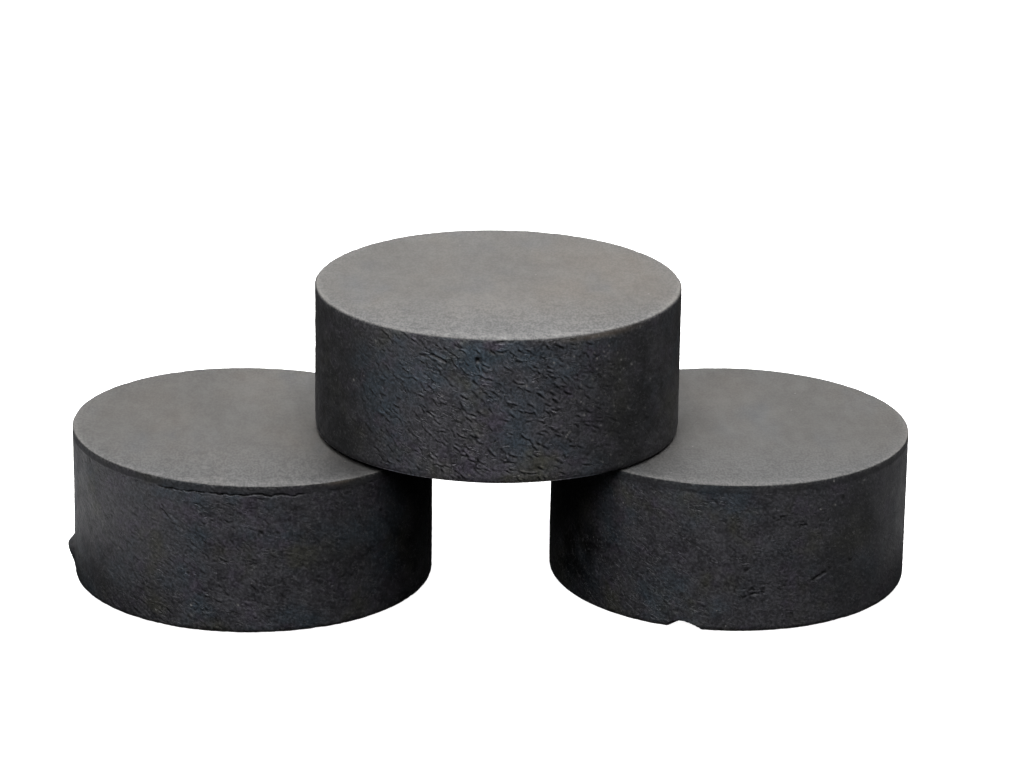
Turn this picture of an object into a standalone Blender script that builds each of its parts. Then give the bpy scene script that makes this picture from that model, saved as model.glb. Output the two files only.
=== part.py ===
"""Three pressed charcoal pucks: two stand side by side on a table, and the third bridges the gap.

Each puck is one solid pressing. A die leaves a smooth band round one end, with a fine step beneath it.
The frame is in metres, +Z up. The origin is on the table, midway along the row of the two lower pucks,
+X runs along the row and -Y is the front.
"""

import math

import bmesh
import bpy
from mathutils import Matrix, Vector

MM = 0.001

# Driving dimensions
CLEARANCE = 0.3 * MM  # between the top puck and the higher of its two supports
ROW_SPACING = 52.8 * MM  # between the axes of the two lower pucks
BAND_HEIGHT = 0.9 * MM  # the smooth band at the end that faced the press
BAND_PROUD = 0.12 * MM  # how far the band stands out of the wall
STEP_HEIGHT = 0.3 * MM  # the fine groove between band and wall
STEP_DEPTH = 0.1 * MM  # how far that groove goes into the wall
PRESSED_EDGE_RADIUS = 0.2 * MM
TURN_STEPS = 96  # round each puck
ARC_STEPS = 3  # along each rounded edge
MERGE_DISTANCE = 0.001 * MM

# Each puck's own size: its pressed face may fall to one side, and the edge of its other face is worn
LEFT = {"radius": 19.8 * MM, "height": 16.9 * MM, "worn_edge": 0.6 * MM, "pressed_fall": math.radians(1.3)}
RIGHT = {"radius": 19.75 * MM, "height": 16.9 * MM, "worn_edge": 0.6 * MM, "pressed_fall": 0.0}
TOP = {"radius": 20.05 * MM, "height": 16.2 * MM, "worn_edge": 0.3 * MM, "pressed_fall": 0.0}
TOP_SHIFT = 0.5 * MM  # how far the top puck sits to the right of the middle of the row

# A smooth lump low on the outer side of the left puck: (radial, tangential, vertical) half sizes
LUMP_HALF = Vector((1.1, 1.7, 2.3)) * MM
LUMP_PROUD = 0.6 * MM
LUMP_HEIGHT = 2.8 * MM

# A chip out of the bottom front edge of the right puck, measured round from +X
CHIP_HALF = Vector((1.4, 2.0, 0.7)) * MM
CHIP_ANGLE = math.radians(-108.5)

CHARCOAL = (0.033, 0.034, 0.038, 1.0)
ROUGHNESS = 0.75
SMOOTH_BELOW = math.radians(40)


def clear_scene():
    for obj in list(bpy.data.objects):
        bpy.data.objects.remove(obj, do_unlink=True)


def new_collection(name):
    collection = bpy.data.collections.new(name)
    bpy.context.scene.collection.children.link(collection)
    return collection


def arc(centre, radius, start, end):
    """Points along an arc in the XZ plane, from start to end degrees, both included."""
    angles = [math.radians(start + (end - start) * i / ARC_STEPS) for i in range(ARC_STEPS + 1)]
    return [(centre[0] + radius * math.cos(a), centre[1] + radius * math.sin(a)) for a in angles]


def puck_profile(radius, height, worn_edge):
    """The outline of half a puck as (distance from the axis, height), down from the pressed face."""
    band_radius = radius + BAND_PROUD
    band_foot = height - BAND_HEIGHT
    step_foot = band_foot - STEP_HEIGHT
    top_corner = (band_radius - PRESSED_EDGE_RADIUS, height - PRESSED_EDGE_RADIUS)
    low_corner = (radius - worn_edge, worn_edge)
    points = [(0.0, height)]
    points += arc(top_corner, PRESSED_EDGE_RADIUS, 90, 0)
    points += [(band_radius, band_foot), (radius - STEP_DEPTH, band_foot - STEP_DEPTH)]
    points += [(radius - STEP_DEPTH, step_foot), (radius, step_foot - STEP_DEPTH)]
    points += arc(low_corner, worn_edge, 0, -90)
    points += [(0.0, 0.0)]
    return points


def turned(name, profile, collection):
    """A solid turned about +Z from its half outline."""
    mesh = bpy.data.meshes.new(name)
    vertices = [(x, 0.0, z) for x, z in profile]
    mesh.from_pydata(vertices, [(i, i + 1) for i in range(len(vertices) - 1)], [])
    obj = bpy.data.objects.new(name, mesh)
    collection.objects.link(obj)
    screw = obj.modifiers.new("turn", "SCREW")
    screw.axis = "Z"
    screw.angle = 2 * math.pi
    screw.steps = TURN_STEPS
    screw.render_steps = TURN_STEPS
    screw.use_merge_vertices = True
    screw.merge_threshold = MERGE_DISTANCE
    return obj


def apply_modifiers(obj):
    """Replaces the object's mesh by the one that its modifiers make of it."""
    bpy.context.view_layer.update()
    evaluated = obj.evaluated_get(bpy.context.evaluated_depsgraph_get())
    made = bpy.data.meshes.new_from_object(evaluated)
    old = obj.data
    obj.modifiers.clear()
    obj.data = made
    bpy.data.meshes.remove(old)
    made.name = obj.name


def tilt_pressed_face(obj, height, fall):
    """Makes the pressed face fall towards +X, as a punch that wasn't square to its die leaves it."""
    slope = math.tan(fall) / height
    for vertex in obj.data.vertices:
        vertex.co.z *= 1 - slope * vertex.co.x


def ellipsoid(name, half, collection):
    """A closed ellipsoid to cut or join with, which isn't a part of its own."""
    mesh = bpy.data.meshes.new(name)
    shape = bmesh.new()
    stretch = Matrix.Diagonal(half).to_4x4()
    bmesh.ops.create_uvsphere(shape, u_segments=20, v_segments=12, radius=1.0, matrix=stretch)
    shape.to_mesh(mesh)
    shape.free()
    obj = bpy.data.objects.new(name, mesh)
    obj.hide_render = True
    obj.display_type = "WIRE"
    collection.objects.link(obj)
    return obj


def combine(obj, other, operation):
    boolean = obj.modifiers.new(other.name, "BOOLEAN")
    boolean.operation = operation
    boolean.solver = "EXACT"
    boolean.object = other


def charcoal(name):
    material = bpy.data.materials.new(name)
    material.use_nodes = True
    shader = material.node_tree.nodes["Principled BSDF"]
    shader.inputs["Base Color"].default_value = CHARCOAL
    shader.inputs["Roughness"].default_value = ROUGHNESS
    shader.inputs["Metallic"].default_value = 0.0
    material.diffuse_color = CHARCOAL
    return material


def puck(name, size, collection):
    """One puck with its pressed face up, its other face on its own origin and its axis through it."""
    obj = turned(name, puck_profile(size["radius"], size["height"], size["worn_edge"]), collection)
    apply_modifiers(obj)
    tilt_pressed_face(obj, size["height"], size["pressed_fall"])
    obj.data.materials.append(charcoal(name + "_charcoal"))
    obj.data.shade_smooth()
    obj.data.set_sharp_from_angle(angle=SMOOTH_BELOW)
    return obj


def build():
    clear_scene()
    parts = new_collection("charcoal_pucks")
    cutters = new_collection("cutters")
    cutters.hide_render = True

    # The band is each puck's widest ring, and the lump reaches further on the left puck's outer side.
    left_reach = LEFT["radius"] + LUMP_PROUD
    right_reach = RIGHT["radius"] + BAND_PROUD
    row_middle = (left_reach - right_reach) / 2

    left = puck("left_puck", LEFT, parts)
    left.location.x = row_middle - ROW_SPACING / 2
    lump = ellipsoid("lump", LUMP_HALF, cutters)
    lump.location.x = left.location.x - left_reach + LUMP_HALF.x
    lump.location.z = LUMP_HEIGHT
    combine(left, lump, "UNION")

    right = puck("right_puck", RIGHT, parts)
    right.location.x = row_middle + ROW_SPACING / 2
    chip = ellipsoid("chip", CHIP_HALF, cutters)
    around = Vector((math.cos(CHIP_ANGLE), math.sin(CHIP_ANGLE), 0.0))
    chip.location = right.location + RIGHT["radius"] * around
    chip.rotation_euler.z = CHIP_ANGLE
    combine(right, chip, "DIFFERENCE")

    # The top puck lies the other way up, on its banded face.
    top = puck("top_puck", TOP, parts)
    top.rotation_euler.x = math.pi
    top.location.x = row_middle + TOP_SHIFT
    top.location.z = RIGHT["height"] + CLEARANCE + TOP["height"]


build()
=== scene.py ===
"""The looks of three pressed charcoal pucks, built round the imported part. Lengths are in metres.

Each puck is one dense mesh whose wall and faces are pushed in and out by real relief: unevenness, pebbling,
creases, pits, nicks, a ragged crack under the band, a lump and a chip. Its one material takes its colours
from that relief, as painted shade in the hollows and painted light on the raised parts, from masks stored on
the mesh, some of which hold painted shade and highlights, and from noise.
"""

import math
import random

import bpy
import numpy as np
from mathutils import Matrix, Vector, noise


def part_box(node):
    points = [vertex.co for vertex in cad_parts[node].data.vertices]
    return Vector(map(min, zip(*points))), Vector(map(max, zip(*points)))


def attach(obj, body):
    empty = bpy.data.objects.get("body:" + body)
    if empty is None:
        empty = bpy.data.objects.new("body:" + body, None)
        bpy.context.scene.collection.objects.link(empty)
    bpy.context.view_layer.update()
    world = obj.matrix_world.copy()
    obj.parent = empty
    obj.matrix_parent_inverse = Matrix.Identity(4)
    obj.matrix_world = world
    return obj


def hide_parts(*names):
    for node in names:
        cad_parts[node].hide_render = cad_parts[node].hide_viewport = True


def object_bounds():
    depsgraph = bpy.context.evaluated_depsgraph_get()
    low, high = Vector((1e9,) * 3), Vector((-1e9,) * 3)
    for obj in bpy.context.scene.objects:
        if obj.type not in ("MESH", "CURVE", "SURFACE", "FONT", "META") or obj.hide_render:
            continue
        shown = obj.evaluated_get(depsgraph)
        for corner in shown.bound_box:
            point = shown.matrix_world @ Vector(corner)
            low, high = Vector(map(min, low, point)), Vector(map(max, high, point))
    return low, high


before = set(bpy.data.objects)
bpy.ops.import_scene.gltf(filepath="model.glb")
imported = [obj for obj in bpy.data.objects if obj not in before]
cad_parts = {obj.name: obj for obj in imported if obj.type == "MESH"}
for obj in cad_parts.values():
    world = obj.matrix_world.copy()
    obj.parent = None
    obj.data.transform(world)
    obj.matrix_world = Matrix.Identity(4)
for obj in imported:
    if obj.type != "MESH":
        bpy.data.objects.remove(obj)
CAD_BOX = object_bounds()

MM = 0.001
UP = 1.0
DOWN = -1.0
FRONT = math.radians(-90)

# The shared shape of a puck, as in the CAD
BAND_HEIGHT = 0.9 * MM
BAND_PROUD = 0.12 * MM
STEP_HEIGHT = 0.3 * MM
STEP_DEPTH = 0.1 * MM
PRESSED_EDGE = 0.2 * MM

# How densely each mesh is built
COLUMNS = 544  # round the wall
FRONT_CROWDING = 0.45  # how much closer together the columns are at the front
ROW_GAP = 0.118 * MM
GROOVE_GAP = 0.06 * MM
RING_GAP = 0.2 * MM  # before it grows, on an upper face
RING_GROWTH = 0.65  # how much the gap grows each time that a ring's columns are halved
SMALLEST_RING = 0.5 * MM  # the radius at which the rings of a face stop
WIDEST_STRIDE = 32  # the most wall columns that one column of a face spans
ARC_ROWS = 4

# The lie of the grain
GRAIN_SLOPE = math.radians(35)  # on the walls it falls to the right
GRAIN_STRETCH = 2.2
FACE_SQUEEZE = (1.0, 0.45, 1.0)  # on the faces it is longer from front to back

RELIEF_UNIT = 0.1 * MM  # the material reads relief in these
OUT_OF_REACH = 1.0  # so far away that no crease gets there
SPECK_SIZE = 0.09 * MM
FIBRE_WIDTH = 0.05 * MM
STUCK_ON = 0.03 * MM  # how far specks and fibres stand out


# ---------------------------------------------------------------- shape of a puck

def steps(start, end, gap):
    """Even steps from start to end, without the start."""
    count = max(1, round(abs(end - start) / gap))
    return [start + (end - start) * i / count for i in range(1, count + 1)]


def face_rings(reach, gap):
    """A face's rings, from its edge inwards, as (radius, wall columns that one of its columns spans)."""
    rings = []
    radius = reach
    while radius > SMALLEST_RING:
        level = max(1, math.ceil(math.log2(reach / radius)))
        rings.append((radius, min(2 ** level, WIDEST_STRIDE)))
        radius -= gap * (1 + RING_GROWTH * level)
    return rings


def arc(centre, radius, start, end):
    """Points along an arc from start to end degrees, both included."""
    angles = [math.radians(start + (end - start) * i / ARC_ROWS) for i in range(ARC_ROWS + 1)]
    return [(centre[0] + radius * math.cos(a), centre[1] + radius * math.sin(a)) for a in angles]


def outline(radius, height, worn_edge, pressed_side):
    """Rings from the middle of the pressed face, over the wall, to the middle of the other face.

    Each ring is (distance from the axis, height, wall columns that one of its columns spans).
    """
    band_radius = radius + BAND_PROUD
    band_foot = height - BAND_HEIGHT
    step_foot = band_foot - STEP_HEIGHT
    plain_top = step_foot - 3 * STEP_DEPTH
    inner = radius - STEP_DEPTH
    pressed_gap = RING_GAP if pressed_side == UP else 2 * RING_GAP
    rings = [(r, height, s) for r, s in reversed(face_rings(band_radius - PRESSED_EDGE, pressed_gap))][:-1]
    corner = (band_radius - PRESSED_EDGE, height - PRESSED_EDGE)
    rings += [(r, z, 1) for r, z in arc(corner, PRESSED_EDGE, 90, 0)]
    rings += [(band_radius, z, 1) for z in steps(corner[1], band_foot, ROW_GAP)]
    rings += [(inner, z, 1) for z in steps(band_foot - STEP_DEPTH / 2, step_foot, GROOVE_GAP)]
    rings += [(radius, z, 1) for z in steps(step_foot - STEP_DEPTH / 2, plain_top, GROOVE_GAP)]
    rings += [(radius, z, 1) for z in steps(plain_top, worn_edge, ROW_GAP)]
    rings += [(r, z, 1) for r, z in arc((radius - worn_edge, worn_edge), worn_edge, 0, -90)[1:]]
    rings += [(r, 0.0, s) for r, s in face_rings(radius - worn_edge, 3 * RING_GAP - pressed_gap)][1:]
    return rings


def column_angles():
    """The angle of each wall column, closer together on the front."""
    turn = np.arange(COLUMNS) / COLUMNS * 2 * math.pi
    return FRONT + turn - FRONT_CROWDING * np.sin(turn)


def join_rings(first, first_count, second, second_count):
    """The faces between two neighbouring rings, one of which may have twice the columns of the other."""
    def a(i):
        return first + i % first_count

    def b(i):
        return second + i % second_count

    if first_count == second_count:
        return [(a(i), a(i + 1), b(i + 1), b(i)) for i in range(first_count)]
    faces = []
    if first_count < second_count:
        for i in range(first_count):
            faces += [(a(i), b(2 * i + 1), b(2 * i)), (a(i), a(i + 1), b(2 * i + 1))]
            faces += [(a(i + 1), b(2 * i + 2), b(2 * i + 1))]
    else:
        for i in range(second_count):
            faces += [(a(2 * i), a(2 * i + 1), b(i)), (a(2 * i + 1), b(i + 1), b(i))]
            faces += [(a(2 * i + 1), a(2 * i + 2), b(i + 1))]
    return faces


class Puck:
    """One puck's surface: where each point is on the plain shape, and how far relief has pushed it out.

    swell and push are both relief, and only push colours the charcoal, as painted shade in its hollows and
    painted light on its raised parts. band, rim, pale and the like are masks, mostly for the material, and
    among them are painted shade on the walls, painted shading on the faces and a painted highlight along the
    pressed rims.
    """

    def __init__(self, node, radius, worn_edge, pressed_side, pressed_fall):
        low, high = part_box(node)
        self.node = node
        self.radius = radius
        self.pressed_side = pressed_side
        self.band_radius = (high.y - low.y) / 2
        self.axis = Vector((high.x - self.band_radius, (low.y + high.y) / 2, low.z))
        rise = math.tan(pressed_fall) * (self.band_radius - PRESSED_EDGE)
        self.height = high.z - low.z - rise
        self.worn_edge = worn_edge
        self.lay_out()
        self.tilt(pressed_fall)
        self.measure()

    def lay_out(self):
        """The plain shape's points and faces."""
        rings = outline(self.radius, self.height, self.worn_edge, self.pressed_side)
        path = np.array([(r, z) for r, z, _ in rings])
        along = np.gradient(path, axis=0)
        along /= np.linalg.norm(along, axis=1)[:, None]
        angles = column_angles()
        parts, starts = [], []
        start = 0
        self.faces = []
        for (r, z, stride), (out, fall) in zip(rings, along):
            turn = angles[::stride]
            count = len(turn)
            column = np.ones(count)
            parts.append(np.column_stack([turn, r * column, z * column, -fall * column, out * column]))
            starts.append((start, count))
            start += count
        table = np.concatenate(parts)
        self.angle, self.reach, self.level = table[:, 0], table[:, 1], table[:, 2]
        self.square_level = self.level  # as if the pressed face hadn't been tilted
        self.outward, self.upward = table[:, 3], table[:, 4]
        at_end = (self.level > self.height - 1.01 * PRESSED_EDGE) | (self.level < 1.01 * self.worn_edge)
        self.flat = at_end * smooth_between(np.abs(self.upward), 0.3, 0.9)
        self.wall = 1 - self.flat
        for (first, n), (second, m) in zip(starts, starts[1:]):
            self.faces += join_rings(first, n, second, m)
        self.faces.append(tuple(range(starts[0][1]))[::-1])
        last, count = starts[-1]
        self.faces.append(tuple(last + i for i in range(count)))
        if self.pressed_side == DOWN:
            self.faces = [face[::-1] for face in self.faces]

    def tilt(self, fall):
        """The pressed face falls towards +X."""
        side = self.reach * np.cos(self.angle)
        self.level = self.level * (1 - math.tan(fall) / self.height * side)

    def measure(self):
        """Places and masks that the relief and the colours are laid on by."""
        if self.pressed_side == UP:
            self.z = self.axis.z + self.level
        else:
            self.z = self.axis.z + self.height - self.level
        self.upward = self.upward * self.pressed_side
        self.x = self.reach * np.cos(self.angle)
        self.y = self.reach * np.sin(self.angle)
        for field in ("swell", "push", "coarse", "soot", "matt", "stain", "grime", "pale"):
            setattr(self, field, np.zeros(len(self.z)))
        below = self.height - self.square_level
        self.band = self.wall * smooth_between(below, BAND_HEIGHT + 0.05 * MM, BAND_HEIGHT - 0.15 * MM)
        self.below_band = below - BAND_HEIGHT
        self.pressed_rim = np.hypot(self.reach - self.band_radius, below)
        worn_rim = np.hypot(self.reach - self.radius, self.square_level)
        self.rim = np.exp(-(self.pressed_rim / (0.3 * MM)) ** 2) + np.exp(-(worn_rim / (0.6 * MM)) ** 2)
        towards_front = smooth_between(-self.y, 0.1 * self.radius, 0.95 * self.radius)
        towards_rim = smooth_between(self.reach, 0.85 * self.radius, self.radius)
        self.grit = self.flat * np.clip(towards_front + 0.4 * towards_rim, 0, 1)
        # A painted highlight along the edge of each pressed face, where its rounded edge catches the light:
        # none at the back, wider but fainter at the very front
        painted_highlight_width = (0.4 + 1.7 * smooth_between(-self.y, 0.75 * self.radius, self.radius)) * MM
        inside_rim = (self.band_radius - 0.2 * MM - self.reach) / painted_highlight_width
        self.painted_rim_highlight = self.flat * smooth_between(-self.y, -0.6 * self.radius, 0.3 * self.radius)
        self.painted_rim_highlight *= np.exp(-inside_rim ** 2) * (1 - 0.4 * towards_front)

    def places(self):
        """Where each point is on the plain shape: x and y from the puck's axis, z from the floor."""
        return np.column_stack([self.x, self.y, self.z])

    def around(self, centre_angle):
        """Signed distance round the wall from an angle."""
        return turn_between(centre_angle, self.angle) * self.radius

    def patch(self, angle, z, across, tall):
        """A soft spot on the wall: 1 at its middle, easing to 0."""
        return self.wall * np.exp(-(self.around(angle) / across) ** 2 - ((self.z - z) / tall) ** 2)


def turn_between(start, end):
    """From one angle to another, the short way round."""
    return (end - start + math.pi) % (2 * math.pi) - math.pi


def smooth_between(value, low, high):
    """0 at low and beyond, 1 at high and beyond, eased between; low may be the greater."""
    t = np.clip((value - low) / (high - low), 0, 1)
    return t * t * (3 - 2 * t)


def lumps(points, size, octaves, offset):
    """Fractal noise, roughly from -1 to 1, whose lumps are about size across."""
    return np.array([noise.fractal(Vector(p), 1.0, 2.0, octaves) for p in points / size + offset])


def along_and_across(a, b, slope, bend=0.0):
    """Distances along and across a sloping line, which may bend, from distances level and upright."""
    run = a * math.cos(slope) + b * math.sin(slope)
    rise = -a * math.sin(slope) + b * math.cos(slope) + bend * run * run
    return run, rise


def slanted(puck):
    """Coordinates in which noise on the wall becomes streaks that lie as its grain does."""
    along, across = math.cos(GRAIN_SLOPE), math.sin(GRAIN_SLOPE)
    squeeze = GRAIN_STRETCH ** 2
    run = along ** 2 + squeeze * across ** 2
    shear = (squeeze - 1) * along * across / run
    rise = math.sqrt((across ** 2 + squeeze * along ** 2) / run - shear ** 2)
    turn = puck.angle + shear / puck.radius * (puck.z - puck.axis.z) * puck.wall
    return np.column_stack([puck.reach * np.cos(turn), puck.reach * np.sin(turn), rise * puck.z])


# ---------------------------------------------------------------- relief

def unevenness(puck, amount, seed):
    """Broad swells, weaker on the flat faces."""
    calm = 0.35 + 0.65 * puck.wall
    puck.swell += amount * calm * lumps(puck.places(), 8 * MM, 2, seed)


def pebbling(puck, amount, size, seed):
    """Grains that run together: down to the right on the wall, and fainter, front to back, on the faces."""
    on_wall = puck.wall * (1 - 0.7 * puck.band) * lumps(slanted(puck), size, 2, seed)
    on_face = puck.flat * (0.12 + puck.grit) * lumps(puck.places() * FACE_SQUEEZE, size, 2, seed)
    puck.push += amount * (on_wall + on_face)


def mottling(puck, angle, z, across, tall, amount, size, seed):
    """Blotchy hollows and swells on part of the wall."""
    puck.push += amount * puck.patch(angle, z, across, tall) * lumps(puck.places(), size, 3, seed)


def settle_band(puck, band_share, groove_share):
    """Wears the band down towards the wall, and fills the plain groove beneath it, by those shares."""
    foot = puck.height - BAND_HEIGHT
    in_band = puck.square_level > foot - 0.01 * MM
    in_groove = ~in_band & (puck.square_level > foot - STEP_HEIGHT - 2 * STEP_DEPTH)
    inside_corner = np.clip((puck.reach - puck.band_radius) / PRESSED_EDGE + 1, 0, 1)
    puck.reach = puck.reach - in_band * band_share * BAND_PROUD * inside_corner
    puck.reach = puck.reach - in_groove * groove_share * (puck.reach - puck.radius)
    # The ledges between band, groove and wall go with them, so points there turn to face straight out.
    below_corner = puck.height - PRESSED_EDGE - puck.square_level > 0
    straight = np.where(in_band, band_share * below_corner, in_groove * groove_share)
    puck.outward = puck.outward * (1 - straight) + straight
    puck.upward = puck.upward * (1 - straight)
    puck.x = puck.reach * np.cos(puck.angle)
    puck.y = puck.reach * np.sin(puck.angle)


def blend_band(puck, kept):
    """Gives the band the wall's own grain, so that this share of its own look is kept."""
    puck.band *= kept


def clean_rim(puck, kept):
    """Takes the dust off the edge of the pressed face, and wear, so that this share of the wear is kept."""
    puck.rim *= np.where(puck.pressed_rim < 1.0 * MM, kept, 1.0)
    puck.flat *= puck.pressed_rim > 0.3 * MM


def crease(puck, across_x, across_y, length, width, slope, bend, depth, lip_share=0.6):
    """One short fold: a raised lip with a furrow under it, both fading at their ends."""
    near = (np.abs(across_x) < length) & (np.abs(across_y) < length)
    run, rise = along_and_across(across_x[near], across_y[near], slope, bend)
    fade = np.clip(1 - (run / length * 2) ** 2, 0, 1) ** 0.8
    lip = np.exp(-((rise - 0.75 * width) / (0.7 * width)) ** 2)
    furrow = np.exp(-((rise + 0.5 * width) / (0.6 * width)) ** 2)
    puck.push[near] += depth * fade * (lip_share * lip - furrow)


def wall_creases(puck, count, seed, coarse_angle, spread, depth):
    """Folds scattered over the wall, longer and deeper round coarse_angle and fine elsewhere."""
    rng = random.Random(seed)
    puck.coarse += np.exp(-(puck.around(coarse_angle) / puck.radius / spread) ** 4)
    low, high = puck.z.min() + 0.4 * MM, puck.z.max() - 0.4 * MM
    level = np.where(puck.wall > 0.5, puck.z, OUT_OF_REACH)
    for _ in range(count):
        angle = rng.uniform(-math.pi, math.pi)
        z = rng.uniform(low, high)
        coarse = math.exp(-(turn_between(coarse_angle, angle) / spread) ** 4)
        strength = (0.12 + 0.88 * coarse) * rng.uniform(0.35, 1)
        length = (rng.uniform(0.45, 1.05) + 0.6 * coarse * rng.random() ** 2) * MM
        width = rng.uniform(0.11, 0.17) * MM
        slope = math.radians(rng.gauss(-33, 14))
        bend = rng.gauss(-150, 400)
        crease(puck, puck.around(angle), level - z, length, width, slope, bend, depth * strength)


def face_creases(puck, count, seed, z, depth):
    """Faint folds on a face, most of them in its front third."""
    rng = random.Random(seed)
    on_face = np.abs(puck.z - z) < 0.5 * MM
    x = np.where(on_face, puck.x, OUT_OF_REACH)
    y = np.where(on_face, puck.y, OUT_OF_REACH)
    for _ in range(count):
        where_y = -puck.radius * (1 - 1.5 * rng.random() ** 1.7)
        half = math.sqrt(max(0.0, puck.radius ** 2 - where_y ** 2)) - 0.5 * MM
        where_x = rng.uniform(-half, half)
        slope = math.radians(rng.uniform(-50, 20))
        length = rng.uniform(0.8, 2.4) * MM
        width = rng.uniform(0.4, 0.6) * MM
        crease(puck, x - where_x, y - where_y, length, width, slope, 0.0, depth * rng.uniform(0.3, 1))


def grime(puck, x, y, across, amount):
    """Painted shading on a face: a darker patch as painted shadow, or a paler one if amount is negative, at
    x and y from the puck's axis.
    """
    away = np.hypot(puck.x - x, puck.y - y) / across
    puck.grime += amount * puck.flat * np.exp(-away ** 2)


def dent(puck, angle, z, size, depth):
    """A small round pit, or a bump where depth is negative."""
    puck.push -= depth * puck.patch(angle, z, size, size)


def slit(puck, angle, z, length, width, slope, depth):
    """A narrow crack."""
    run, rise = along_and_across(puck.around(angle), puck.z - z, slope)
    ends = smooth_between(np.abs(run), length / 2, length / 3)
    puck.push -= depth * ends * puck.wall * np.exp(-(rise / width) ** 2)


def speck(puck, angle, z, paleness=1.0):
    """A pale crumb of ash stuck to the wall."""
    near = puck.patch(angle, z, SPECK_SIZE, SPECK_SIZE)
    puck.swell += STUCK_ON * near
    puck.pale = np.maximum(puck.pale, paleness * near)


def faint_specks(puck, count, seed, angle, z, across, tall):
    """A cluster of less pale crumbs."""
    rng = random.Random(seed)
    for _ in range(count):
        turned = angle + rng.gauss(0, across) / puck.radius
        speck(puck, turned, z + rng.gauss(0, tall), rng.uniform(0.2, 0.7))


def fibre(puck, angle, z, length, slope, bend):
    """A fine pale hair of lint, pressed into the wall."""
    run, rise = along_and_across(puck.around(angle), puck.z - z, slope, bend)
    ends = smooth_between(np.abs(run), length / 2, length / 3)
    near = puck.wall * ends * np.exp(-(rise / FIBRE_WIDTH) ** 2)
    puck.swell += STUCK_ON * near
    puck.pale = np.maximum(puck.pale, 0.8 * near)


def smear(puck, angle, z, across, tall):
    """A thin warm brown smear on the wall."""
    puck.stain = np.maximum(puck.stain, puck.patch(angle, z, across, tall))


def soot(puck, angle, z, across, tall, amount, matt=1.0):
    """Painted shade: a darker, patchy part of the wall where less light falls, rougher by matt, or smoother
    if matt is negative.
    """
    patchy = np.clip(1 + 0.9 * lumps(puck.places(), 3 * MM, 3, 40.0), 0, 2)
    near = puck.patch(angle, z, across, tall) * patchy
    puck.soot = np.maximum(puck.soot, np.clip(amount * near, 0, 1))
    puck.matt += matt * amount * near


def rounded_rim(puck, amount):
    """Rounds the edge of the pressed face off further than its plain corner."""
    puck.swell -= amount * np.exp(-(puck.pressed_rim / (0.35 * MM)) ** 2)


def rough_patch(puck, angle, z, across, tall, count, depth, seed):
    """A cluster of short dark furrows that run nearly level."""
    rng = random.Random(seed)
    for _ in range(count):
        turned = puck.around(angle + rng.gauss(0, across) / puck.radius)
        rise = puck.z - z - rng.gauss(0, tall)
        length = rng.uniform(0.35, 0.9) * MM
        width = rng.uniform(0.10, 0.15) * MM
        slope = math.radians(rng.gauss(-4, 28))
        crease(puck, turned, rise, length, width, slope, 0.0, depth * rng.uniform(0.4, 1), 0.1)


def scattered_pits(puck, count, seed):
    """Small shallow pits, anywhere on the wall."""
    rng = random.Random(seed)
    for _ in range(count):
        angle = rng.uniform(-math.pi, math.pi)
        z = rng.uniform(puck.z.min() + 1 * MM, puck.z.max() - 1 * MM)
        dent(puck, angle, z, rng.uniform(0.14, 0.3) * MM, rng.uniform(0.04, 0.12) * MM)


def crack_under_band(puck, middle_angle, spread, depth, seed):
    """The ragged crack between the band and the wall, deepest round middle_angle."""
    away = puck.around(middle_angle) / (spread * puck.radius)
    strength = 0.12 + 0.88 * np.exp(-away ** 2)
    ragged = lumps(puck.places() * [1, 1, 0.2], 0.8 * MM, 4, seed)
    torn = lumps(puck.places() * [1, 1, 0.1], 1.6 * MM, 2, seed + 20)
    centre = (0.14 + 0.2 * ragged) * MM
    width = (0.05 + 0.05 * torn) * MM
    cut = np.exp(-((puck.below_band - centre) / np.maximum(width, 0.035 * MM)) ** 2)
    open_here = smooth_between(torn + 0.9 * strength, 0.35, 0.75)
    puck.push -= depth * strength * open_here * puck.wall * cut


def worn_rims(puck, amount, seed):
    """Nicks and softening along both edges."""
    bite = np.clip(lumps(puck.places(), 1.3 * MM, 3, seed) - 0.1, 0, 1)
    puck.swell -= amount * np.clip(puck.rim, 0, 1) * bite


def lump(puck, angle, z, tangential, above, below, proud):
    """A smooth lump on the wall, which falls off quickly above its peak and slowly below it."""
    rise = puck.z - z
    upright = np.clip(np.where(rise > 0, rise / above, -rise / below), 0, 1)
    sideways = np.clip(np.abs(puck.around(angle)) / tangential, 0, 1)
    puck.swell += proud * puck.wall * bell(upright) * bell(sideways)


def bell(t):
    """1 at 0, easing to 0 at 1."""
    return 0.5 + 0.5 * np.cos(math.pi * t)


def chip(puck, places, angle, left, right, depth, tall):
    """Breaks a shell-shaped chip, steeper on its left, out of the bottom edge, by moving these places."""
    turned = puck.around(angle)
    size = 1 - np.clip(np.where(turned < 0, -turned / left, turned / right), 0, 1) ** 2
    inward = (puck.reach - puck.radius) / np.maximum(depth * size, 1e-9)
    upward = (puck.z - puck.axis.z) / np.maximum(tall * size, 1e-9)
    hit = np.hypot(inward, upward) < 1
    start = np.array([0.5, -0.5])
    ray = np.column_stack([inward, upward])[hit] - start
    a = (ray ** 2).sum(1)
    b = ray @ start
    c = start @ start - 1
    far = (-b + np.sqrt(b * b - a * c)) / a
    shell = start + far[:, None] * ray
    rough = 1 + 0.12 * lumps(places[hit], 0.6 * MM, 3, 5.0)
    reach = puck.radius + shell[:, 0] * depth * size[hit] * rough
    places[hit, 0] = reach * np.cos(puck.angle[hit])
    places[hit, 1] = reach * np.sin(puck.angle[hit])
    places[hit, 2] = puck.axis.z + shell[:, 1] * tall * size[hit] * rough


# ---------------------------------------------------------------- mesh

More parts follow.
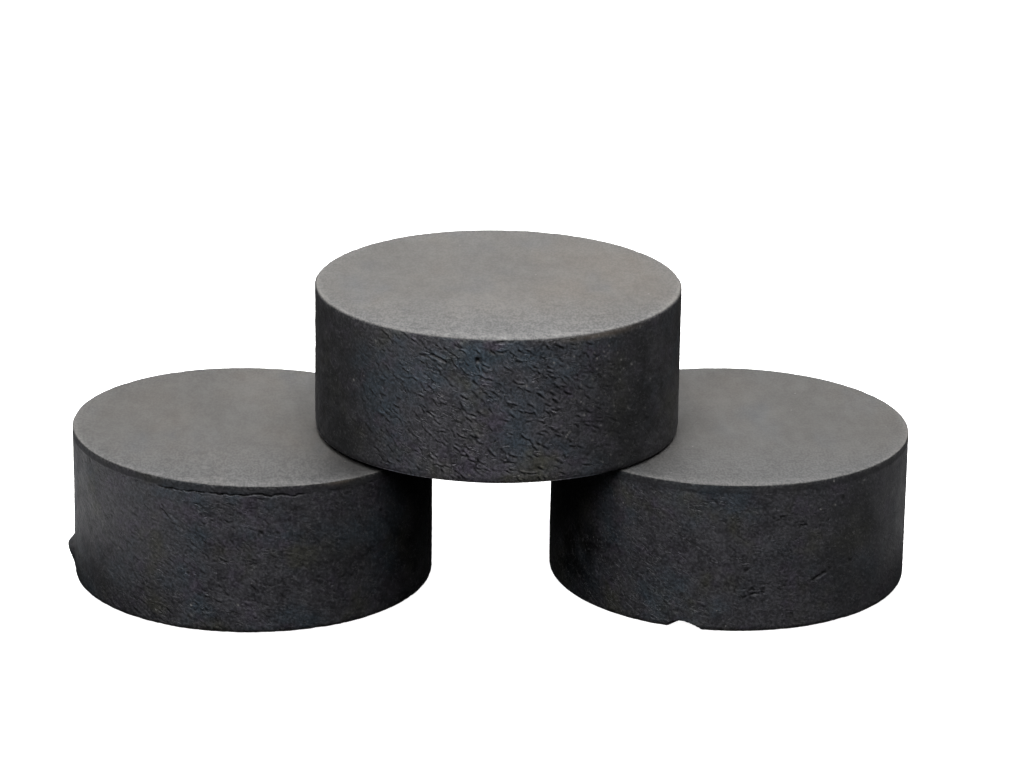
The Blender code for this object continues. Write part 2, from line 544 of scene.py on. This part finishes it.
def pushed_places(puck):
    """Every point where relief has left it, about the puck's axis."""
    push = puck.swell + puck.push
    out = puck.outward * push
    return np.column_stack([puck.x + out * np.cos(puck.angle), puck.y + out * np.sin(puck.angle),
                            puck.z + puck.upward * push])


def store(mesh, name, values, kind="FLOAT"):
    """Keeps one value for each point on the mesh."""
    attribute = mesh.attributes.new(name, kind, "POINT")
    field = "vector" if kind == "FLOAT_VECTOR" else "value"
    attribute.data.foreach_set(field, np.ascontiguousarray(values, dtype=np.float32).ravel())


def make_mesh(puck, places, name, material):
    """The puck's visible piece, with the masks that its material reads."""
    middle = np.array([puck.axis.x, puck.axis.y, 0.0])
    mesh = bpy.data.meshes.new(name)
    mesh.from_pydata((places + middle).tolist(), [], puck.faces)
    mesh.update()
    mesh.shade_smooth()
    store(mesh, "relief", puck.push / RELIEF_UNIT)
    store(mesh, "face", puck.flat)
    store(mesh, "rim", np.clip(puck.rim, 0, 1))
    store(mesh, "matt", np.clip(puck.matt, -1, 1))
    store(mesh, "coarse", np.clip(puck.coarse, 0, 1))
    for mask in ("band", "soot", "stain", "grime", "pale", "grit", "painted_rim_highlight"):
        store(mesh, mask, getattr(puck, mask))
    store(mesh, "slant", slanted(puck), "FLOAT_VECTOR")
    mesh.materials.append(material)
    piece = bpy.data.objects.new(name, mesh)
    bpy.context.scene.collection.objects.link(piece)
    return piece


def left_puck():
    """Fine grain, densest high on the front, a torn band and a lump low on the outer side."""
    puck = Puck("left_puck", 19.8 * MM, 0.6 * MM, UP, math.radians(1.3))
    settle_band(puck, 0.75, 1.0)
    unevenness(puck, 0.06 * MM, 3.1)
    pebbling(puck, 0.03 * MM, 0.6 * MM, 7.7)
    wall_creases(puck, 1800, 11, math.radians(-115), 0.8, 0.07 * MM)
    face_creases(puck, 120, 12, puck.height, 0.02 * MM)
    scattered_pits(puck, 40, 13)
    crack_under_band(puck, math.radians(-100), 0.45, 0.4 * MM, 4.4)
    for angle, z in ((-157.9, 4.4), (-136.7, 7.55), (-109.0, 2.96), (-121.3, 1.7), (-94.0, 3.35)):
        speck(puck, math.radians(angle), z * MM)
    smear(puck, math.radians(-61.2), 16.7 * MM, 1.6 * MM, 0.35 * MM)
    # Painted shade where less light falls on the wall: low on the outer side, on the front right, and on the
    # side that faces the gap
    soot(puck, math.radians(-146), 2.5 * MM, 6 * MM, 4 * MM, 0.9)
    soot(puck, math.radians(-60), 9 * MM, 5 * MM, 5 * MM, 0.2)
    soot(puck, math.radians(-30), 8 * MM, 4.5 * MM, 20 * MM, 0.7, -0.5)
    # Painted shadow of the top puck on the face beside it, and a paler patch at the back of the face
    grime(puck, 10.5 * MM, -13.5 * MM, 4.5 * MM, 0.5)
    grime(puck, 3.0 * MM, 15.0 * MM, 8.0 * MM, -0.13)
    worn_rims(puck, 0.08 * MM, 9.3)
    lump(puck, math.pi, puck.axis.z + 3.0 * MM, 2.2 * MM, 1.3 * MM, 3.0 * MM, 0.8 * MM)
    places = pushed_places(puck)
    finish_puck(puck, places, "left_puck_pressing", "left", (0.62, 0.42, 0.55))


def right_puck():
    """Finer and smoother, with a few rough streaks, a gouge, a pit and a chip out of its bottom edge."""
    puck = Puck("right_puck", 19.75 * MM, 0.6 * MM, UP, 0.0)
    settle_band(puck, 0.85, 1.0)
    unevenness(puck, 0.06 * MM, 13.1)
    pebbling(puck, 0.018 * MM, 0.5 * MM, 17.7)
    wall_creases(puck, 1500, 21, math.radians(-95), 0.9, 0.03 * MM)
    face_creases(puck, 120, 22, puck.height, 0.02 * MM)
    scattered_pits(puck, 30, 23)
    crack_under_band(puck, math.radians(60), 0.7, 0.3 * MM, 14.4)
    rough_patch(puck, math.radians(-85), 4.9 * MM, 1.7 * MM, 0.45 * MM, 26, 0.13 * MM, 24)
    rough_patch(puck, math.radians(-78.8), 12.96 * MM, 0.5 * MM, 0.25 * MM, 7, 0.13 * MM, 25)
    rough_patch(puck, math.radians(-72.1), 12.05 * MM, 0.45 * MM, 0.25 * MM, 7, 0.13 * MM, 26)
    rough_patch(puck, math.radians(-64.4), 11.9 * MM, 0.4 * MM, 0.25 * MM, 5, 0.1 * MM, 27)
    slit(puck, math.radians(-64.6), 5.8 * MM, 2.2 * MM, 0.13 * MM, math.radians(24), 0.22 * MM)
    slit(puck, math.radians(-63.9), 5.6 * MM, 1.4 * MM, 0.12 * MM, math.radians(24), -0.04 * MM)
    dent(puck, math.radians(-52.6), 6.8 * MM, 0.2 * MM, 0.14 * MM)
    for angle, z in ((-64.9, 13.5), (-59.7, 13.7), (-60.5, 16.5), (-47.6, 15.65)):
        speck(puck, math.radians(angle), z * MM)
    # Painted shade where less light falls on the wall: on the front right, and on the side that faces the
    # gap
    soot(puck, math.radians(-54), 9 * MM, 5.5 * MM, 9 * MM, 0.9)
    soot(puck, math.radians(-152), 4 * MM, 6 * MM, 8 * MM, 0.8, -1.0)
    # Painted shadow of the top puck on the face beside it
    grime(puck, -10.5 * MM, -13.5 * MM, 4.0 * MM, 0.2)
    worn_rims(puck, 0.08 * MM, 19.3)
    places = pushed_places(puck)
    chip(puck, places, math.radians(-109.7), 1.6 * MM, 2.6 * MM, 2.6 * MM, 0.95 * MM)
    finish_puck(puck, places, "right_puck_pressing", "right", (0.62, 0.52, 0.5))


def top_puck():
    """Coarsely wrinkled on the front, with a crack, a pit, a fibre of lint and crumbs of ash."""
    puck = Puck("top_puck", 20.05 * MM, 0.3 * MM, DOWN, 0.0)
    top = puck.axis.z + puck.height
    settle_band(puck, 1.0, 1.0)
    blend_band(puck, 0.2)
    clean_rim(puck, 0.25)
    unevenness(puck, 0.07 * MM, 23.1)
    pebbling(puck, 0.02 * MM, 0.6 * MM, 27.7)
    mottling(puck, math.radians(-160), 24 * MM, 8 * MM, 12 * MM, 0.09 * MM, 1.5 * MM, 51.3)
    mottling(puck, math.radians(-35), 24 * MM, 7.5 * MM, 12 * MM, 0.09 * MM, 1.5 * MM, 52.3)
    wall_creases(puck, 1700, 31, math.radians(-97), 0.68, 0.2 * MM)
    face_creases(puck, 260, 32, top, 0.03 * MM)
    scattered_pits(puck, 40, 33)
    slit(puck, math.radians(-110.5), 30.9 * MM, 2.2 * MM, 0.12 * MM, math.radians(-22), 0.35 * MM)
    slit(puck, math.radians(-110.0), 31.15 * MM, 2.4 * MM, 0.12 * MM, math.radians(-22), -0.08 * MM)
    dent(puck, math.radians(-98.2), 31.0 * MM, 0.24 * MM, 0.4 * MM)
    fibre(puck, math.radians(-70.0), 22.44 * MM, 1.1 * MM, math.radians(50), 350)
    for angle, z in ((-142.3, 26.3), (-132.5, 31.5), (-109.2, 26.75), (-129.1, 20.05), (-100.5, 18.1),
                     (-64.7, 24.3), (-51.3, 29.7), (-83.3, 28.2), (-75.0, 30.6)):
        speck(puck, math.radians(angle), z * MM)
    smear(puck, math.radians(-58), 33.0 * MM, 4.5 * MM, 0.35 * MM)
    # Painted shade on the left and right of the wall, darkest low on the left, just above the left puck
    soot(puck, math.radians(-154), 24 * MM, 7 * MM, 12 * MM, 0.6)
    soot(puck, math.radians(-152), 19 * MM, 7 * MM, 4.5 * MM, 1.0)
    soot(puck, math.radians(-50), 23 * MM, 5.5 * MM, 9 * MM, 1.0)
    faint_specks(puck, 60, 34, math.radians(-56), 27 * MM, 3.5 * MM, 3.0 * MM)
    worn_rims(puck, 0.08 * MM, 29.3)
    rounded_rim(puck, 0.12 * MM)
    places = pushed_places(puck)
    finish_puck(puck, places, "top_puck_pressing", "top", (0.9, 1.0, 1.0))


def finish_puck(puck, places, name, body, tones):
    """Makes the piece, in charcoal of these tones, and puts it in the frame in place of its CAD node."""
    piece = make_mesh(puck, places, name, charcoal(name, *tones))
    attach(piece, body)
    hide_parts(puck.node)


# ---------------------------------------------------------------- material

LOOSE_DUST = (0.085, 0.085, 0.088, 1)
WORN_COLOUR = (0.11, 0.107, 0.10, 1)
BROWN_STAIN = (0.12, 0.098, 0.075, 1)
ASH = (0.24, 0.235, 0.225, 1)
WRINKLE_SCALE = 1100.0


class Nodes:
    """Short calls for building one material's nodes."""

    def __init__(self, tree):
        self.tree = tree

    def add(self, kind, **settings):
        made = self.tree.nodes.new("ShaderNode" + kind)
        for key, value in settings.items():
            setattr(made, key, value)
        return made

    def put(self, made, key, value):
        """Links a socket, or sets it where value is a plain number or colour."""
        if isinstance(value, bpy.types.NodeSocket):
            self.tree.links.new(value, made.inputs[key])
        else:
            made.inputs[key].default_value = value

    def attribute(self, name, output="Fac"):
        return self.add("Attribute", attribute_name=name).outputs[output]

    def noise(self, where, scale, detail=4.0, roughness=0.6):
        made = self.add("TexNoise")
        self.put(made, "Vector", where)
        self.put(made, "Scale", scale)
        self.put(made, "Detail", detail)
        self.put(made, "Roughness", roughness)
        return made.outputs["Fac"]

    def math(self, operation, first, second=0.0, third=0.0):
        made = self.add("Math", operation=operation)
        for key, value in enumerate((first, second, third)):
            self.put(made, key, value)
        return made.outputs[0]

    def between(self, value, low, high, to_low=0.0, to_high=1.0):
        made = self.add("MapRange", interpolation_type="SMOOTHSTEP")
        for key, item in zip(("Value", "From Min", "From Max", "To Min", "To Max"),
                             (value, low, high, to_low, to_high)):
            self.put(made, key, item)
        return made.outputs["Result"]

    def mix(self, amount, first, second):
        """Between two colours."""
        made = self.add("Mix", data_type="RGBA")
        self.put(made, "Factor", amount)
        self.put(made, 6, first)
        self.put(made, 7, second)
        return made.outputs[2]

    def blend(self, amount, first, second):
        """Between two numbers."""
        made = self.add("Mix", data_type="FLOAT")
        self.put(made, 0, amount)
        self.put(made, 2, first)
        self.put(made, 3, second)
        return made.outputs[0]

    def scaled(self, colour, amount):
        made = self.add("VectorMath", operation="SCALE")
        self.put(made, 0, colour)
        self.put(made, "Scale", amount)
        return made.outputs[0]


def mottled_wall(n, where):
    """Charcoal that drifts between violet, blue, neutral and olive blacks."""
    base = (0.0176, 0.0172, 0.0195, 1)
    blue = (0.0132, 0.0186, 0.0240, 1)
    violet = (0.0196, 0.0172, 0.0231, 1)
    olive = (0.0195, 0.0193, 0.0155, 1)
    colour = n.mix(n.between(n.noise(where, 130.0, 4.0), 0.45, 0.72), base, blue)
    colour = n.mix(n.between(n.noise(where, 330.0, 3.0), 0.48, 0.7), colour, violet)
    return n.mix(n.between(n.noise(where, 170.0, 3.0), 0.5, 0.72), colour, olive)


def dusty_face(n, where, tone):
    """The flat faces: a greyer bloom of dust with faint clouds and brown and bluish blotches."""
    dust = (0.0885 * tone, 0.0835 * tone, 0.0765 * tone, 1)
    brown = (0.0950 * tone, 0.0845 * tone, 0.0730 * tone, 1)
    cool = (0.0815 * tone, 0.0825 * tone, 0.0835 * tone, 1)
    colour = n.mix(n.between(n.noise(where, 75.0, 3.0), 0.42, 0.72), dust, brown)
    gritty = n.math("MULTIPLY", n.attribute("grit"), 0.6)
    coolness = n.math("MAXIMUM", n.between(n.noise(where, 110.0, 3.0), 0.5, 0.75), gritty)
    cloud = n.between(n.noise(where, 160.0, 3.0), 0.3, 0.7, 0.93, 1.06)
    return n.scaled(n.mix(coolness, colour, cool), cloud)


def specks(n, where):
    """Sparse pale flecks of ash, from 0 to 1."""
    made = n.add("TexVoronoi", feature="F1")
    n.put(made, "Vector", where)
    n.put(made, "Scale", 1000.0)
    chosen = n.add("SeparateColor")
    n.put(chosen, 0, made.outputs["Color"])
    rare = n.math("GREATER_THAN", chosen.outputs[0], 0.95)
    size = n.math("MULTIPLY_ADD", chosen.outputs[1], 0.06, 0.05)
    dot = n.math("LESS_THAN", made.outputs["Distance"], size)
    return n.math("MULTIPLY", rare, dot)


def wrinkle_lines(n, slant, scale, width, below=0.0):
    """Fine broken lines along the grain, from 0 to 1; below draws the same lines that much lower."""
    lowered = n.add("VectorMath", operation="ADD")
    n.put(lowered, 0, slant)
    n.put(lowered, 1, (0, 0, below))
    pattern = n.noise(lowered.outputs[0], scale, 1.5, 0.5)
    line = n.between(n.math("ABSOLUTE", n.math("SUBTRACT", pattern, 0.5)), width, 0.0)
    gaps = n.between(n.noise(slant, 0.6 * scale, 2.0, 0.5), 0.47, 0.6)
    return n.math("MULTIPLY", line, gaps)


def charcoal(name, dust, band_tone, wrinkled):
    """Pressed charcoal: black mottled walls, dusty faces, furrows darkened with painted shade, pale worn
    edges and ash flecks.

    dust is how light the faces are, band_tone how light the band is beside the wall, and wrinkled how strong
    the fine lines are and how much lighter the coarse front of the wall is, partly as painted light.
    """
    material = bpy.data.materials.new(name)
    material.use_nodes = True
    n = Nodes(material.node_tree)
    shader = material.node_tree.nodes["Principled BSDF"]
    where = n.add("TexCoord").outputs["Object"]
    slant = n.attribute("slant", "Vector")
    relief = n.attribute("relief")
    face = n.attribute("face")
    grit = n.attribute("grit")
    plain_wall = n.math("SUBTRACT", 1.0, n.math("MAXIMUM", face, n.attribute("band")))
    band = n.math("MULTIPLY", n.attribute("band"), 1.0 - band_tone)
    squeezed = n.add("VectorMath", operation="MULTIPLY")
    n.put(squeezed, 0, where)
    n.put(squeezed, 1, FACE_SQUEEZE)
    on_face = squeezed.outputs[0]

    grain = n.blend(face, n.noise(where, 3400.0, 2.0, 0.5), n.noise(on_face, 4200.0, 2.0, 0.5))
    blotch = n.blend(face, n.noise(where, 450.0, 4.0, 0.6), n.noise(on_face, 450.0, 4.0, 0.6))
    streak = n.noise(slant, 2000.0, 2.0, 0.5)
    folded = n.math("MULTIPLY", n.math("MULTIPLY_ADD", n.attribute("coarse"), 0.8, 0.2), plain_wall)
    folded = n.math("MULTIPLY", folded, wrinkled)
    ridge = n.math("MULTIPLY", wrinkle_lines(n, slant, WRINKLE_SCALE, 0.03), folded)
    shade = n.math("MULTIPLY", wrinkle_lines(n, slant, WRINKLE_SCALE, 0.035, 0.14 * MM), folded)
    fleck = n.math("MULTIPLY", wrinkle_lines(n, slant, 1900.0, 0.022), plain_wall)

    # The grain and the blotches are strongest on walls, faint on faces and stronger again where gritty
    strength = n.math("SUBTRACT", 1.0, n.math("MULTIPLY", face, 0.75))
    strength = n.math("MULTIPLY_ADD", grit, 0.5, strength)
    crumb = n.math("MULTIPLY", n.between(grain, 0.6, 0.72), plain_wall)
    lighter = n.between(grain, 0.38, 0.62, -0.38, 0.42)
    lighter = n.math("ADD", n.between(blotch, 0.35, 0.65, -0.14, 0.14), lighter)
    # Painted shade and light from the relief: hollows darker, the deepest nearly black, and raised parts
    # lighter
    lighter = n.math("ADD", lighter, n.between(relief, -1.0, 0.9, -0.75, 0.8))
    value = n.math("MAXIMUM", n.math("MULTIPLY_ADD", lighter, strength, 1.0), 0.12)
    value = n.math("MULTIPLY", value, n.between(relief, -2.6, -1.0, 0.15, 1.0))
    # Painted highlight on the fine ridges and painted shadow just under them, besides their bump
    value = n.math("MULTIPLY", value, n.math("MULTIPLY_ADD", ridge, 0.5, 1.0))
    value = n.math("MULTIPLY", value, n.math("MULTIPLY_ADD", shade, -0.6, 1.0))
    # The band's own darker tone, and the painted shading on the faces, darken the value
    value = n.math("MULTIPLY", value, n.math("SUBTRACT", 1.0, n.math("ADD", band, n.attribute("grime"))))
    # Painted highlight along the edges of the pressed faces
    value = n.math("MULTIPLY", value, n.math("MULTIPLY_ADD", n.attribute("painted_rim_highlight"), 0.6, 1.0))

    # Partly painted light: the coarsely wrinkled front of each wall is made lighter, as the front is lit
    # more than the sides, besides that part's own paler tone; the wall's painted shade then darkens it
    painted_light_and_shade = n.math("MULTIPLY_ADD", n.math("MULTIPLY", n.attribute("coarse"), wrinkled), 1.3, 0.88)
    painted_light_and_shade = n.math("MULTIPLY_ADD", n.attribute("soot"), -0.85, painted_light_and_shade)
    colour = n.scaled(mottled_wall(n, where), painted_light_and_shade)
    colour = n.scaled(n.mix(face, colour, dusty_face(n, on_face, dust)), value)
    loose = n.math("MAXIMUM", n.math("MULTIPLY", fleck, 0.45), n.math("MULTIPLY", crumb, 0.35))
    colour = n.mix(loose, colour, LOOSE_DUST)
    worn = n.math("MULTIPLY", n.attribute("rim"), n.between(grain, 0.48, 0.66, 0.0, 0.4))
    colour = n.mix(worn, colour, WORN_COLOUR)
    colour = n.mix(n.math("MULTIPLY", n.attribute("stain"), 0.55), colour, BROWN_STAIN)
    pale = n.math("MAXIMUM", n.math("MULTIPLY", specks(n, where), 0.5), n.attribute("pale"))
    colour = n.mix(pale, colour, ASH)
    n.put(shader, "Base Color", colour)

    rough = n.math("MULTIPLY_ADD", face, 0.1, n.between(blotch, 0.3, 0.7, 0.5, 0.68))
    rough = n.math("MULTIPLY_ADD", n.math("MULTIPLY", n.attribute("coarse"), wrinkled), -0.08, rough)
    rough = n.math("MULTIPLY_ADD", n.attribute("matt"), 0.25, rough)
    rough = n.math("MULTIPLY_ADD", band, 0.35, rough)
    n.put(shader, "Roughness", rough)
    shader.inputs["Specular IOR Level"].default_value = 0.5
    shader.inputs["Specular Tint"].default_value = (0.95, 0.96, 1.0, 1)

    height = n.math("MULTIPLY_ADD", streak, 0.9, grain)
    height = n.math("MULTIPLY_ADD", blotch, 0.6, height)
    height = n.math("MULTIPLY", height, strength)
    height = n.math("MULTIPLY_ADD", ridge, 1.0, height)
    height = n.math("MULTIPLY_ADD", shade, -0.8, height)
    height = n.math("MULTIPLY_ADD", fleck, 0.8, height)
    bump = n.add("Bump")
    n.put(bump, "Height", height)
    n.put(bump, "Distance", 0.05 * MM)
    bump.inputs["Strength"].default_value = 1.0
    n.put(shader, "Normal", bump.outputs["Normal"])
    return material


# ---------------------------------------------------------------- stage

def white_floor():
    """A plain pale floor that the pile stands on, which sweeps up into a backdrop all the way round."""
    turns = 48
    flat_radius = 3.0
    bend_radius = 0.5
    wall_height = 3.0
    bend = [math.radians(15 * i) for i in range(7)]
    profile = [(flat_radius + bend_radius * math.sin(a), bend_radius * (1 - math.cos(a))) for a in bend]
    profile += [(flat_radius + bend_radius, wall_height)]
    around = [2 * math.pi * i / turns for i in range(turns)]
    points = [(r * math.cos(a), r * math.sin(a), z) for r, z in profile for a in around]
    faces = [tuple(range(turns))]
    for ring in range(len(profile) - 1):
        faces += join_rings(turns * ring, turns, turns * (ring + 1), turns)
    mesh = bpy.data.meshes.new("floor")
    mesh.from_pydata(points, [], faces)
    floor = bpy.data.objects.new("floor", mesh)
    bpy.context.scene.collection.objects.link(floor)
    floor.location.z = -0.05 * MM
    material = bpy.data.materials.new("floor")
    material.use_nodes = True
    n = Nodes(material.node_tree)
    shader = material.node_tree.nodes["Principled BSDF"]
    paper = n.noise(n.add("TexCoord").outputs["Object"], 40.0, 3.0)
    n.put(shader, "Base Color", n.mix(paper, (0.80, 0.80, 0.80, 1), (0.82, 0.82, 0.82, 1)))
    shader.inputs["Roughness"].default_value = 0.9
    shader.inputs["Emission Color"].default_value = (1, 1, 1, 1)
    shader.inputs["Emission Strength"].default_value = 1.0
    mesh.materials.append(material)
    floor.visible_diffuse = False
    floor.visible_glossy = False


def softbox(name, place, aim, width, height, watts):
    """A rectangular light that the camera can't see."""
    light = bpy.data.lights.new(name, "AREA")
    light.shape = "RECTANGLE"
    light.size = width
    light.size_y = height
    light.energy = watts
    lamp = bpy.data.objects.new(name, light)
    bpy.context.scene.collection.objects.link(lamp)
    lamp.location = place
    lamp.rotation_euler = (Vector(aim) - Vector(place)).to_track_quat("-Z", "Y").to_euler()
    lamp.visible_camera = False


def studio():
    """A soft key high at the front, lights above, behind and at both ends, and two low on the floor."""
    centre = (CAD_BOX[0] + CAD_BOX[1]) / 2
    softbox("key", (-0.08, -0.42, 0.52), centre, 0.45, 0.45, 5.0)
    softbox("above", (0.0, 0.0, 0.7), centre, 0.5, 0.5, 6.9)
    softbox("back", (0.0, 0.6, 0.32), centre, 0.9, 0.4, 2.0)
    softbox("left", (-0.55, 0.05, 0.10), centre, 0.3, 0.3, 0.05)
    softbox("right", (0.55, 0.05, 0.12), centre, 0.3, 0.3, 0.31)
    beyond_end = CAD_BOX[1].x + 0.03
    for name, x, watts in (("left_bounce", -beyond_end, 0.017), ("right_bounce", beyond_end, 0.0076)):
        softbox(name, (x, -0.01, 0.001), (x, -0.01, 1.0), 0.05, 0.10, watts)
    world = bpy.data.worlds.new("studio")
    bpy.context.scene.world = world
    world.use_nodes = True
    world.node_tree.nodes["Background"].inputs["Color"].default_value = (1, 1, 1, 1)
    world.node_tree.nodes["Background"].inputs["Strength"].default_value = 0.006
    bpy.context.scene.view_settings.view_transform = "Standard"


def camera():
    """A long lens from a little left of the front, looking down at the pile."""
    turn = math.radians(-2.547)
    pitch = math.radians(18.783)
    roll = math.radians(0.811)
    distance = 0.488
    centre = (CAD_BOX[0] + CAD_BOX[1]) / 2
    aim = centre + Vector((2.41, -0.1, 4.98)) * MM
    spin = Matrix.Rotation(turn, 3, "Z")
    ahead = spin @ Vector((0, math.cos(pitch), -math.sin(pitch)))
    level = spin @ Vector((1, 0, 0))
    above = level.cross(ahead)
    right = level * math.cos(roll) + above * math.sin(roll)
    up = above * math.cos(roll) - level * math.sin(roll)
    facing = Matrix((right, up, -ahead)).transposed().to_4x4()
    data = bpy.data.cameras.new("camera")
    data.sensor_width = 36.0
    data.lens = 155.5
    data.clip_start = 0.01
    view = bpy.data.objects.new("camera", data)
    bpy.context.scene.collection.objects.link(view)
    view.matrix_world = Matrix.Translation(aim - ahead * distance) @ facing
    bpy.context.scene.camera = view


left_puck()
right_puck()
top_puck()
white_floor()
studio()
camera()
